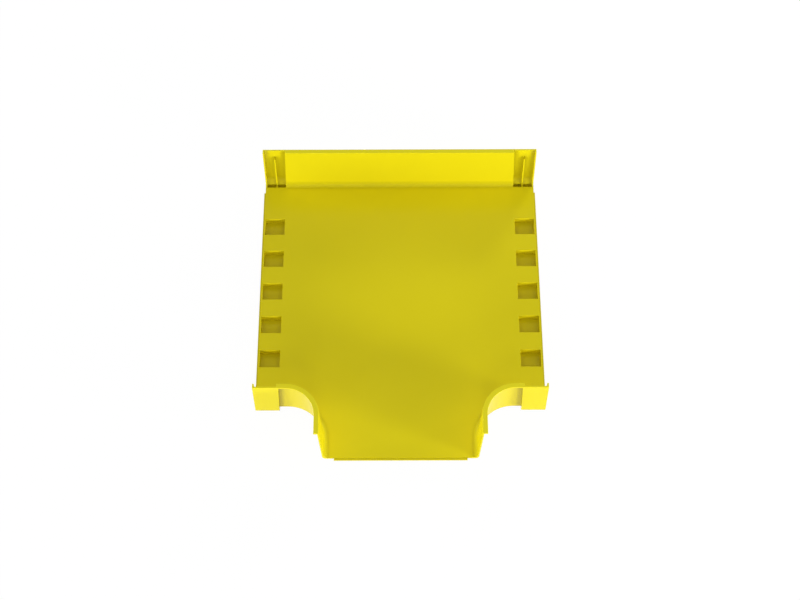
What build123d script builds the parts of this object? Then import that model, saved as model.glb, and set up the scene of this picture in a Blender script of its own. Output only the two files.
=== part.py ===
from build123d import *
import math
import os

# Horizontal tee for a fibre raceway, moulded in one piece.
# X runs along the main run, +Y points away from the branch and Z is up.
# The origin lies on the flat underside, where the two centre lines cross.

# Troughs
run_width = 610.0  # clear width of the main run, at its floor
run_length = 662.0  # main run, over the ends of its walls
branch_width = 348.0  # clear width of the branch, at its floor
branch_straight = 47.0  # branch walls past their bends
wall_height = 126.0  # floor to the top of the rim
wall_thickness = 3.0
wall_lean = 3.1  # degrees, every wall opens outwards
floor_thickness = 4.0
bend_radius = 84.0  # inner face of a bend, at the floor
inner_base_radius = 10.0
outer_base_radius = 10.0

# Rim
rim_width = 11.3  # inner face of the wall to the edge of the rim
rim_thickness = 3.0
rim_radius = 0.8  # edges of its top face

# Coupler sockets at the ends of the main run's walls
socket_inset = 3.5  # end flange, which closes the socket to the outside
socket_length = 50.5  # along the wall, at the top
socket_taper = 4.3  # the socket is this much shorter at the floor
socket_back_wall = 4.7
socket_plate = 4.0
plate_radius = 22.0  # outer face of the plate, where it turns in under the socket
rib_thickness = 3.2
rib_inset = 26.4  # end of the wall to the near side of the rib
rib_drop = 25.0  # top of the rim to the top of the rib

# Wells in the floor under the sockets
well_lap = 8.0  # how far a well reaches in front of the wall
well_width = 10.5
well_depth = 10.5
well_skin = 2.0

# Latch pockets in the floor
pocket_length = 47.5  # along X
pocket_width = 44.6
pocket_depth = 18.0
pocket_skin = 2.5
pocket_pitch = 91.0
pocket_count = 5
pocket_inset = 2.8  # end of the walls to the pocket
pocket_radius = 0.6  # edges of its mouth

# Tongues at the open ends of the floor
run_tongue = 3.0
run_tongue_width = 562.0
run_tongue_step = 1.0
branch_tongue = 5.3
branch_tongue_width = 302.0
branch_tongue_step = 1.5

# Length by which tools run past what they cut
overrun = 20.0

# Worked out from the sizes above
slope = math.tan(math.radians(wall_lean))
total_height = floor_thickness + wall_height
half_run = run_width / 2
half_length = run_length / 2
bend_centre = branch_width / 2 + bend_radius
branch_reach = half_run + bend_radius + branch_straight  # from the centre line of the main run
rim_reach = wall_height * slope + rim_width  # from the foot of a wall's inner face
plate_outer = half_run + rim_reach
well_near = half_run - well_lap
well_floor = floor_thickness - well_depth
well_bottom = well_floor - well_skin
socket_end = half_length - socket_inset
socket_start = socket_end - socket_length
pocket_x = half_length - pocket_inset - pocket_length / 2


def spread(height):
    """How far a wall has leaned out at a height above the underside."""
    return (height - floor_thickness) * slope


def draft(height):
    """How much shorter a socket is at a height than at its top."""
    return (total_height - height) / wall_height * socket_taper


def tee_outline(grow):
    """Draws the plan of both troughs, grown outwards, with its ends run past the part."""
    side = half_run + grow
    half_branch = branch_width / 2 + grow
    radius = bend_radius - grow
    end = half_length + overrun
    reach = branch_reach + overrun
    with BuildLine() as outline:
        back = Polyline((-end, -side), (-end, side), (end, side), (end, -side), (bend_centre, -side))
        right_bend = JernArc(back @ 1, (-1, 0), radius, 90)
        branch_left = (-half_branch, -side - radius)
        front = Polyline(right_bend @ 1, (half_branch, -reach), (-half_branch, -reach), branch_left)
        left_bend = JernArc(front @ 1, (0, 1), radius, 90)
        Line(left_bend @ 1, back @ 0)
    make_face(outline.edges())


def plate_outline(plate, radius, bottom, top):
    """Draws the section across a socket, out to a face of its plate, and rounds its foot."""
    with BuildLine() as outline:
        upright = Polyline((well_near, bottom), (well_near, top), (plate, top), (plate, bottom + radius))
        foot = JernArc(upright @ 1, (0, -1), radius, -90)
        Line(foot @ 1, upright @ 0)
    make_face(outline.edges())


def well_outline(grow, top):
    """Draws the section across a well, grown outwards, up to a height."""
    with BuildLine() as outline:
        near, far, bottom = well_near - grow, well_near + well_width + grow, well_floor - grow
        Polyline((near, bottom), (near, top), (far, top), (far, bottom), close=True)
    make_face(outline.edges())


def end_outline(start, end, bottom, top):
    """Draws the side view of a socket, whose inner end leans with its draft."""
    with BuildLine() as outline:
        inner_end = [(start + draft(bottom), bottom), (start + draft(top), top)]
        Polyline(*inner_end, (end, top), (end, bottom), close=True)
    make_face(outline.edges())


# Space inside the troughs, with the radius between floor and walls
with BuildPart() as trough_space:
    with BuildSketch(Plane.XY.offset(floor_thickness)):
        tee_outline(0)
    extrude(amount=wall_height + overrun, taper=-wall_lean)
    fillet(trough_space.edges().group_by(Axis.Z)[0], inner_base_radius)

# Blocks that hold the sockets, flush with the edge of the rim
with BuildPart() as socket_housings:
    with BuildSketch(Plane.YZ):
        plate_outline(plate_outer, plate_radius, 0, total_height)
        well_outline(well_skin, floor_thickness)
    extrude(amount=run_length)
    with BuildSketch(Plane.XZ):
        end_outline(socket_start - socket_back_wall, half_length, well_bottom, total_height)
    extrude(amount=run_width, both=True, mode=Mode.INTERSECT)
    mirror(about=Plane.YZ)
    mirror(about=Plane.XZ)

# Space in the sockets and their wells, on both sides of the rib
with BuildPart() as socket_space:
    with BuildSketch(Plane.YZ):
        inner_radius = plate_radius - socket_plate
        plate_outline(plate_outer - socket_plate, inner_radius, socket_plate, total_height + overrun)
        well_outline(0, plate_radius)
    extrude(amount=run_length)
    with BuildSketch(Plane.XZ):
        end_outline(socket_start, socket_end, well_floor, total_height + overrun)
    extrude(amount=run_width, both=True, mode=Mode.INTERSECT)
    rib_top = total_height - rib_drop
    with BuildSketch(Plane.YZ.offset(half_length - rib_inset - rib_thickness)):
        with BuildLine():
            Polyline(
                (well_near, well_floor),
                (well_near, floor_thickness),
                (half_run, floor_thickness),
                (half_run + spread(rib_top), rib_top),
                (run_width, rib_top),
                (run_width, well_floor),
                close=True,
            )
        make_face()
    extrude(amount=rib_thickness, mode=Mode.SUBTRACT)
    mirror(about=Plane.YZ)
    mirror(about=Plane.XZ)

with BuildPart() as raceway_tee:
    # Walls and floor as one thick form
    with BuildSketch():
        tee_outline(wall_thickness + spread(0))
    extrude(amount=total_height, taper=-wall_lean)
    fillet(raceway_tee.edges().group_by(Axis.Z)[0], outer_base_radius)

    # Rim that stands out around the top
    with BuildSketch(Plane.XY.offset(total_height)):
        tee_outline(rim_reach)
    extrude(amount=-rim_thickness)

    # Housings, then the open troughs
    add(socket_housings.part)
    add(trough_space.part, mode=Mode.SUBTRACT)

    # Square ends
    with BuildSketch(Plane.XY.offset(well_bottom)):
        with Locations((0, -branch_reach)):
            Rectangle(run_length, branch_reach + run_width, align=(Align.CENTER, Align.MIN))
    extrude(amount=total_height - well_bottom, mode=Mode.INTERSECT)

    # Tongues at the open ends
    with BuildSketch():
        Rectangle(run_length + 2 * run_tongue, run_tongue_width)
    extrude(amount=floor_thickness - run_tongue_step)
    with BuildSketch():
        with Locations((0, -branch_reach - branch_tongue)):
            Rectangle(branch_tongue_width, branch_reach, align=(Align.CENTER, Align.MIN))
    extrude(amount=floor_thickness - branch_tongue_step)

    # Boxes that stand below the floor around the latch pockets
    with BuildSketch():
        with GridLocations(2 * pocket_x, pocket_pitch, 2, pocket_count):
            Rectangle(pocket_length + 2 * pocket_skin, pocket_width + 2 * pocket_skin)
    extrude(amount=floor_thickness - pocket_depth - pocket_skin)

    # Sockets and latch pockets
    add(socket_space.part, mode=Mode.SUBTRACT)
    with BuildSketch(Plane.XY.offset(floor_thickness)):
        with GridLocations(2 * pocket_x, pocket_pitch, 2, pocket_count):
            Rectangle(pocket_length, pocket_width)
    extrude(amount=-pocket_depth, mode=Mode.SUBTRACT)

    # Rounded edges of the pockets' mouths and of the top
    fillet(raceway_tee.edges(Select.LAST).group_by(Axis.Z)[-1], pocket_radius)
    fillet(raceway_tee.faces().group_by(Axis.Z)[-1].edges(), rim_radius)
raceway_tee.part.label = "raceway_tee"

os.makedirs("parts", exist_ok=True)
export_step(raceway_tee.part, "parts/raceway_tee.step")
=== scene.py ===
import logging
import math
from dataclasses import dataclass, field
from enum import Enum

import bmesh
import bpy
from mathutils import Matrix, Vector


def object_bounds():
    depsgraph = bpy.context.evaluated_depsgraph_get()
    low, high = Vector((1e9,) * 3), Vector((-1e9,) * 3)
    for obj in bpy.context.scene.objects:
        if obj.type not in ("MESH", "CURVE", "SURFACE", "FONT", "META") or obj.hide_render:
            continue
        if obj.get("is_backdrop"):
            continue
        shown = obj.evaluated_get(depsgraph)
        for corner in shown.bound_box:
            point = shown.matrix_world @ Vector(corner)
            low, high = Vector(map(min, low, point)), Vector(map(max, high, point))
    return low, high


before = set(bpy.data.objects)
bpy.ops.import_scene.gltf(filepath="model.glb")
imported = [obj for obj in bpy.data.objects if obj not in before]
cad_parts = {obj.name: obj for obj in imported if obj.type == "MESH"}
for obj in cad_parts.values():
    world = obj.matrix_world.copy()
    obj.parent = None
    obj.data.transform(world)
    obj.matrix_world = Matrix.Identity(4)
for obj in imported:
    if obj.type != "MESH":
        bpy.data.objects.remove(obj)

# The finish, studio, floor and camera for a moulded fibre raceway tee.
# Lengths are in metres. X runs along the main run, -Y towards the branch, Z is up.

Triple = tuple[float, float, float]
Span = tuple[float, float]
Tree = bpy.types.NodeTree
Socket = bpy.types.NodeSocket
WHOLE_SPAN: Span = (0.0, 1.0)
WHITE: Triple = (1.0, 1.0, 1.0)
log = logging.getLogger("raceway_tee")


class Tone(Enum):
    """Brightness of the room, as it is seen and as it lights the object."""

    BACKDROP = 1.0
    ROOM = 0.39


class Side(Enum):
    """Inputs of a shader mix, for rays that only carry light and for those that see a thing."""

    CARRIED = 1
    SEEN = 2


def opaque(colour: Triple) -> tuple[float, float, float, float]:
    """Gives a colour the full alpha that a socket asks for."""
    return (*colour, 1.0)


def plug(tree: Tree, source: Socket | float | Triple, socket: Socket) -> None:
    """Feeds a socket.

    Args:
        tree: nodes that it belongs to
        source: another socket, or the constant that it holds
        socket: socket to feed
    """
    if isinstance(source, Socket):
        tree.links.new(source, socket)
    else:
        socket.default_value = opaque(source) if isinstance(source, tuple) else source


def noise(tree: Tree, place: Socket, scale: float, detail: float) -> Socket:
    """Adds a noise pattern.

    Args:
        tree: nodes to add to
        place: coordinates that it follows
        scale: patches across a metre
        detail: layers of finer patches in them

    Returns:
        the pattern, from 0 to 1
    """
    pattern = tree.nodes.new("ShaderNodeTexNoise")
    pattern.inputs["Scale"].default_value = scale
    pattern.inputs["Detail"].default_value = detail
    tree.links.new(place, pattern.inputs["Vector"])
    return pattern.outputs["Fac"]


def ramp(tree: Tree, value: Socket, span: Span = WHOLE_SPAN, onto: Span = WHOLE_SPAN) -> Socket:
    """Maps one range of a value onto another, and goes past neither end of it.

    Args:
        tree: nodes to add to
        value: the value
        span: its range
        onto: the range that it is mapped onto

    Returns:
        the mapped value
    """
    scale = tree.nodes.new("ShaderNodeMapRange")
    scale.inputs["From Min"].default_value, scale.inputs["From Max"].default_value = span
    scale.inputs["To Min"].default_value, scale.inputs["To Max"].default_value = onto
    tree.links.new(value, scale.inputs["Value"])
    return scale.outputs["Result"]


def work_out(tree: Tree, operation: str, first: Socket, second: Socket | float) -> Socket:
    """Works a number out from two others.

    Args:
        tree: nodes to add to
        operation: the Math node's name for it
        first: the first number
        second: the second number

    Returns:
        the result
    """
    step = tree.nodes.new("ShaderNodeMath")
    step.operation = operation
    plug(tree, first, step.inputs[0])
    plug(tree, second, step.inputs[1])
    return step.outputs[0]


def mix(
    tree: Tree, factor: Socket, first: Socket | Triple, second: Socket | Triple, way: str = "MIX"
) -> Socket:
    """Mixes two colours.

    Args:
        tree: nodes to add to
        factor: how much of the second colour there is
        first: the first colour
        second: the second colour
        way: the Mix node's name for how the second goes on the first

    Returns:
        the mixed colour
    """
    blend = tree.nodes.new("ShaderNodeMix")
    blend.data_type = "RGBA"
    blend.blend_type = way
    plug(tree, factor, blend.inputs["Factor"])
    plug(tree, first, blend.inputs["A"])
    plug(tree, second, blend.inputs["B"])
    return blend.outputs["Result"]


def seen_outright(tree: Tree) -> Socket:
    """Tells the rays that see a thing outright from those that only carry its light.

    Args:
        tree: nodes to add to

    Returns:
        a socket that is 1 for camera, glossy and transmission rays
    """
    path = tree.nodes.new("ShaderNodeLightPath")
    seen = path.outputs["Is Camera Ray"]
    for kind in ("Is Glossy Ray", "Is Transmission Ray"):
        seen = work_out(tree, "MAXIMUM", seen, path.outputs[kind])
    return seen


@dataclass(frozen=True)
class MouldedPlastic:
    """Finish of the moulding: flame-retardant plastic in one colour, with a satin gloss, painted
    light on the top of the rim and painted shade in its inner corners.

    Args:
        name: name of the material
        colour: colour of the plastic, linear
        flow_colour: the slightly deeper colour where the melt flowed last, linear
        flow_scale: patches of colour across a metre
        flow_detail: layers of finer patches in them
        rim_painted_light_colour: painted light, a lighter colour on the top of the rim where
            light falls on it, linear
        rim_painted_light_span: heights between which that painted light sets in
        painted_shade_reach: width of the painted shade, from ambient occlusion, that lies along
            inner corners
        painted_shade_depth: how fast that painted shade sets in
        painted_shade_limit: share of the colour that is left where the painted shade is deepest
        pocket_painted_shade_share: how much of that painted shade lies deep in the pockets
        pocket_painted_shade_span: heights between which the rest of the painted shade sets in
        roughness: roughness of the surface where it is glossiest
        roughness_spread: how much rougher the dullest patches are
        wave_scale: shallow waves of the moulding across a metre
        wave_depth: height of those waves
        grain_scale: grains of the mould's surface across a metre
        grain_depth: height of the grain
        relief_detail: layers of finer relief in the waves and the grain
        sheen_level: strength of its reflections, where 0.5 is glass-like
    """

    name: str = "yellow_moulding"
    colour: Triple = (0.86, 0.745, 0.009)
    flow_colour: Triple = (0.83, 0.715, 0.008)
    flow_scale: float = 5.0
    flow_detail: float = 4.0
    # painted light: the top of the rim is lighter, as if more light fell on it
    rim_painted_light_colour: Triple = (0.96, 0.86, 0.02)
    rim_painted_light_span: Span = (0.1287, 0.1297)
    # painted shade: darker along inner corners, and less so deep in the pockets
    painted_shade_reach: float = 0.015
    painted_shade_depth: float = 1.3
    painted_shade_limit: float = 0.75
    pocket_painted_shade_share: float = 0.3
    pocket_painted_shade_span: Span = (-0.003, 0.001)
    roughness: float = 0.16
    roughness_spread: float = 0.10
    wave_scale: float = 9.0
    wave_depth: float = 0.00005
    grain_scale: float = 1400.0
    grain_depth: float = 0.00001
    relief_detail: float = 2.0
    sheen_level: float = 0.115

    def material(self) -> bpy.types.Material:
        """Builds the material.

        Returns:
            the material, ready for a slot
        """
        made = bpy.data.materials.new(self.name)
        made.use_nodes = True
        tree = made.node_tree
        place = tree.nodes.new("ShaderNodeTexCoord").outputs["Object"]
        axes = tree.nodes.new("ShaderNodeSeparateXYZ")
        tree.links.new(place, axes.inputs[0])
        height = axes.outputs["Z"]
        flow = noise(tree, place, self.flow_scale, self.flow_detail)

        shader = tree.nodes["Principled BSDF"]
        shader.inputs["Specular IOR Level"].default_value = self.sheen_level
        # The base colour carries painted light on the rim top and painted shade in the inner
        # corners.
        rim_lit_colour = self.colour_with_rim_light(tree, flow, height)
        tree.links.new(self.with_painted_shade(tree, rim_lit_colour, height), shader.inputs["Base Color"])
        tree.links.new(self.gloss(tree, flow), shader.inputs["Roughness"])
        tree.links.new(self.relief(tree, place), shader.inputs["Normal"])
        return made

    def colour_with_rim_light(self, tree: Tree, flow: Socket, height: Socket) -> Socket:
        """Varies the plastic's colour with its flow, and paints light on the top of the rim.

        Args:
            tree: nodes to add to
            flow: pattern of the melt's flow
            height: height of the surface

        Returns:
            the colour, with its painted rim light
        """
        tint = mix(tree, flow, self.colour, self.flow_colour)
        # painted light: the rim's top is mixed towards a lighter colour by height
        return mix(tree, ramp(tree, height, self.rim_painted_light_span), tint, self.rim_painted_light_colour)

    def with_painted_shade(self, tree: Tree, rim_lit_colour: Socket, height: Socket) -> Socket:
        """Paints shade into a colour along inner corners, from the object's own ambient
        occlusion, and less of it deep in the pockets.

        Args:
            tree: nodes to add to
            rim_lit_colour: the colour, with its painted rim light
            height: height of the surface

        Returns:
            the colour with its painted shade
        """
        # painted shade: the object's own ambient occlusion darkens the colour in its inner
        # corners
        openness = tree.nodes.new("ShaderNodeAmbientOcclusion")
        openness.only_local = True
        openness.inputs["Distance"].default_value = self.painted_shade_reach
        corner = work_out(tree, "POWER", openness.outputs["AO"], self.painted_shade_depth)
        tone = work_out(tree, "MAXIMUM", corner, self.painted_shade_limit)
        share = ramp(tree, height, self.pocket_painted_shade_span, (self.pocket_painted_shade_share, 1.0))
        return mix(tree, share, rim_lit_colour, tone, "MULTIPLY")

    def gloss(self, tree: Tree, flow: Socket) -> Socket:
        """Makes the surface duller where the melt flowed last.

        Args:
            tree: nodes to add to
            flow: pattern of the melt's flow

        Returns:
            the roughness
        """
        dullest = self.roughness + self.roughness_spread
        return ramp(tree, flow, onto=(self.roughness, dullest))

    def relief(self, tree: Tree, place: Socket) -> Socket:
        """Lays the fine grain over the shallow waves.

        Args:
            tree: nodes to add to
            place: coordinates that both follow

        Returns:
            the normal
        """
        normal = None
        layers = ((self.wave_scale, self.wave_depth), (self.grain_scale, self.grain_depth))
        for scale, depth in layers:
            bump = tree.nodes.new("ShaderNodeBump")
            bump.inputs["Distance"].default_value = depth
            height = noise(tree, place, scale, self.relief_detail)
            tree.links.new(height, bump.inputs["Height"])
            if normal:
                tree.links.new(normal, bump.inputs["Normal"])
            normal = bump.outputs["Normal"]
        return normal


@dataclass
class RacewayTee:
    """The moulding itself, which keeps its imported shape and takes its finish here.

    Args:
        node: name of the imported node
        finish: plastic that it is moulded from
    """

    node: str = "raceway_tee"
    finish: MouldedPlastic = field(default_factory=MouldedPlastic)

    def dress(self) -> bpy.types.Object:
        """Gives every material slot of the node its finish.

        Returns:
            the node's object
        """
        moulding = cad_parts[self.node]
        plastic = self.finish.material()
        if not moulding.material_slots:
            moulding.data.materials.append(plastic)
        for slot in moulding.material_slots:
            slot.material = plastic
        return moulding


def around(azimuth: float, elevation: float, distance: float = 3.0) -> Triple:
    """Finds a place on a dome around the object.

    Args:
        azimuth: degrees from the front towards the right
        elevation: degrees above the floor
        distance: metres from the middle of the object

    Returns:
        the place
    """
    turn, rise = math.radians(azimuth), math.radians(elevation)
    flat = distance * math.cos(rise)
    return (flat * math.sin(turn), -flat * math.cos(turn), distance * math.sin(rise))


def hang(lamp: bpy.types.Light, place: Triple) -> bpy.types.Object:
    """Hangs a lamp in the studio. Reflections show the white room instead of it.

    Args:
        lamp: the lamp
        place: where its centre is

    Returns:
        the lamp's object
    """
    held = bpy.data.objects.new(lamp.name, lamp)
    held.location = place
    held.visible_glossy = False
    bpy.context.scene.collection.objects.link(held)
    return held


@dataclass(frozen=True)
class Softbox:
    """One soft lamp that points at a spot on the object.

    Args:
        name: name of the lamp
        place: where its centre is
        power: in watts
        size: width and height
        target: spot that it points at
    """

    name: str
    place: Triple
    power: float
    size: tuple[float, float] = (0.6, 0.4)
    target: Triple = (0.0, -0.05, 0.05)

    def light(self) -> bpy.types.Object:
        """Builds the lamp.

        Returns:
            the lamp's object
        """
        lamp = bpy.data.lights.new(self.name, "AREA")
        lamp.shape = "RECTANGLE"
        lamp.size, lamp.size_y = self.size
        lamp.energy = self.power
        held = hang(lamp, self.place)
        aim = Vector(self.target) - Vector(self.place)
        held.rotation_euler = aim.to_track_quat("-Z", "Y").to_euler()
        return held


@dataclass(frozen=True)
class Spotlight:
    """A lamp straight above the troughs, whose light is a pool on their floor.

    Args:
        name: name of the lamp
        height: above the floor
        power: in watts
        reach: half the pool's size along X and along Y
        edge: softness of the pool's edge
        bulb: radius of the lamp
    """

    name: str
    height: float = 2.5
    power: float = 13.0
    reach: tuple[float, float] = (0.25, 0.205)
    edge: float = 1.0
    bulb: float = 0.02

    def light(self) -> bpy.types.Object:
        """Builds the lamp.

        Returns:
            the lamp's object
        """
        along, across = self.reach
        lamp = bpy.data.lights.new(self.name, "SPOT")
        lamp.energy = self.power
        lamp.shadow_soft_size = self.bulb
        lamp.spot_size = 2 * math.atan(along / self.height)
        lamp.spot_blend = self.edge
        held = hang(lamp, (0.0, 0.0, self.height))
        held.scale = (1.0, across / along, 1.0)
        return held


@dataclass
class Studio:
    """Pale floor, surroundings and lamps.

    Args:
        floor_reach: half the width of the floor
        floor_gap: how far the floor lies below the object
        floor_colour: colour of the floor for the light that it throws back
        floor_glow: brightness of the floor where it is seen, a little over white for its shadow
        shadow_share: how much of the object's shadow the floor shows
        boxes: the soft lamps
        pool: the lamp above the troughs
    """

    floor_reach: float = 12.0
    floor_gap: float = 0.0002
    floor_colour: Triple = (0.9, 0.9, 0.9)
    floor_glow: float = 1.02
    shadow_share: float = 0.05
    boxes: tuple[Softbox, ...] = (
        Softbox("front_box", around(0, 22), 4.7),
        Softbox("high_front_box", around(0, 38), 5.0),
        Softbox("front_left_box", around(-15, 5), 10.8),
        Softbox("left_fill_box", around(-30, 5), 8.2),
        Softbox("right_fill_box", around(30, 5), 2.9),
        Softbox("front_right_box", around(45, 12), 4.9),
        Softbox("left_box", around(-60, 5), 17.6),
        Softbox("right_box", around(60, 12), 32.4),
        Softbox("far_left_box", around(-105, 5), 36.0),
        Softbox("far_right_box", around(105, 5), 27.0),
        Softbox("rear_right_box", around(150, 22), 13.3),
        Softbox("rear_box", around(180, 12), 20.0),
    )
    pool: Spotlight = field(default_factory=lambda: Spotlight("pool_light"))

    def floor(self) -> bpy.types.Object:
        """Builds the floor, white to the camera and in reflections, with a soft shadow.

        Returns:
            the floor's object
        """
        (_, _, lowest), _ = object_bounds()
        shape = bmesh.new()
        bmesh.ops.create_grid(shape, x_segments=1, y_segments=1, size=self.floor_reach)
        drop = (0.0, 0.0, lowest - self.floor_gap)
        bmesh.ops.translate(shape, verts=shape.verts, vec=drop)
        mesh = bpy.data.meshes.new("studio_floor")
        shape.to_mesh(mesh)
        shape.free()
        plane = bpy.data.objects.new("studio_floor", mesh)
        bpy.context.scene.collection.objects.link(plane)
        mesh.materials.append(self.floor_material())
        plane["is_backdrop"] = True
        return plane

    def floor_material(self) -> bpy.types.Material:
        """Builds the floor's material.

        Returns:
            the material
        """
        made = bpy.data.materials.new("pale_floor")
        made.use_nodes = True
        tree = made.node_tree
        tree.nodes.clear()
        matt = tree.nodes.new("ShaderNodeBsdfDiffuse")
        matt.inputs["Color"].default_value = opaque(self.floor_colour)
        glow = tree.nodes.new("ShaderNodeEmission")
        glow.inputs["Strength"].default_value = self.floor_glow
        share = work_out(tree, "MULTIPLY", seen_outright(tree), 1.0 - self.shadow_share)
        blend = tree.nodes.new("ShaderNodeMixShader")
        tree.links.new(share, blend.inputs["Fac"])
        tree.links.new(matt.outputs[0], blend.inputs[Side.CARRIED.value])
        tree.links.new(glow.outputs[0], blend.inputs[Side.SEEN.value])
        out = tree.nodes.new("ShaderNodeOutputMaterial")
        tree.links.new(blend.outputs[0], out.inputs["Surface"])
        return made

    def surroundings(self) -> None:
        """Makes the room dim for the object's light, and white as it is seen and reflected."""
        world = bpy.data.worlds.new("studio_room")
        bpy.context.scene.world = world
        world.use_nodes = True
        tree = world.node_tree
        tree.nodes.clear()
        blend = tree.nodes.new("ShaderNodeMixShader")
        tree.links.new(seen_outright(tree), blend.inputs["Fac"])
        for tone, side in ((Tone.ROOM, Side.CARRIED), (Tone.BACKDROP, Side.SEEN)):
            glow = tree.nodes.new("ShaderNodeBackground")
            glow.inputs["Color"].default_value = opaque(WHITE)
            glow.inputs["Strength"].default_value = tone.value
            tree.links.new(glow.outputs[0], blend.inputs[side.value])
        out = tree.nodes.new("ShaderNodeOutputWorld")
        tree.links.new(blend.outputs[0], out.inputs["Surface"])

    def build(self) -> list[bpy.types.Object]:
        """Builds the whole studio.

        Returns:
            the floor and the lamps
        """
        self.surroundings()
        return [self.floor(), *(lamp.light() for lamp in (*self.boxes, self.pool))]


@dataclass(frozen=True)
class Viewpoint:
    """Camera in front of the branch, looking down into the troughs.

    Args:
        target: spot in the middle of the picture
        distance: camera to that spot
        pitch: degrees that it looks down
        heading: degrees that it looks to the right of the branch's centre line
        lens: focal length in millimetres
        sensor: width of the sensor in millimetres
        sight: how far it sees
    """

    target: Triple = (-0.000155, -0.024872, 0.004)
    distance: float = 4.018185
    pitch: float = 60.0
    heading: float = 0.195
    lens: float = 76.0067
    sensor: float = 36.0
    sight: float = 100.0

    def shoot(self) -> bpy.types.Object:
        """Sets up the camera and makes it the scene's.

        Returns:
            the camera's object
        """
        made = bpy.data.cameras.new("viewpoint")
        made.sensor_width = self.sensor
        made.lens = self.lens
        made.clip_end = self.sight
        held = bpy.data.objects.new("viewpoint", made)
        tilt = Matrix.Rotation(math.radians(90.0 - self.pitch), 3, "X")
        turn = Matrix.Rotation(-math.radians(self.heading), 3, "Z") @ tilt
        held.rotation_euler = turn.to_euler()
        held.location = Vector(self.target) + turn @ Vector((0.0, 0.0, self.distance))
        bpy.context.scene.collection.objects.link(held)
        bpy.context.scene.camera = held
        return held


def main() -> None:
    """Dresses the moulding, sets up the studio and the camera, and reports each piece."""
    logging.basicConfig(level=logging.INFO)
    bpy.context.scene.view_settings.view_transform = "Standard"
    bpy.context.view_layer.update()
    moulding = RacewayTee().dress()
    log.info("piece %s: %d faces", moulding.name, len(moulding.data.polygons))
    for made in Studio().build():
        log.info("studio %s", made.name)
    log.info("camera %s", Viewpoint().shoot().name)


if __name__ == "__main__":
    main()
